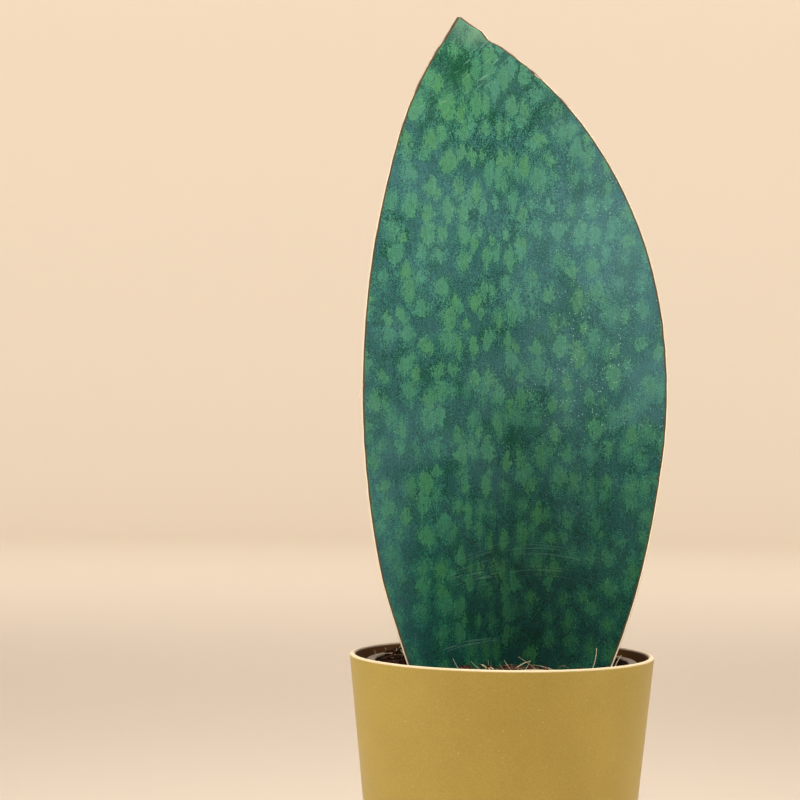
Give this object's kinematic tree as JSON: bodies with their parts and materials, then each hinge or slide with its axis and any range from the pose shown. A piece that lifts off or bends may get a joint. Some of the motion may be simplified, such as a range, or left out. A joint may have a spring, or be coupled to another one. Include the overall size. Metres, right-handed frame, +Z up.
{
  "type": "potted sansevieria",
  "caption": "Whale fin sansevieria with one broad mottled paddle leaf, rooted in coir soil in a nursery pot inside a plain tapered ochre outer pot.",
  "frame": {"origin": "centre of the outer pot's flat base", "axes": "+Z up along the pot's axis; the leaf's hollow face looks towards -Y and its tip leans towards -X"},
  "size_m": [0.1439, 0.14, 0.422],
  "materials": {
    "ochre_pot": "matte ochre, very finely speckled, with a smooth rounded lip",
    "taupe_plastic": "thin thermoformed taupe plastic with a soft sheen",
    "coir_soil": "dark crumbly coir and peat with pale loose fibres",
    "leaf_skin": "thick waxy leaf, blotched light green on blue-green, with a thin red-brown margin"
  },
  "bodies": {
    "root": {"outer_pot": "ochre_pot", "nursery_pot": "taupe_plastic", "soil": "coir_soil", "leaf": "leaf_skin"}
  },
  "joints": []
}
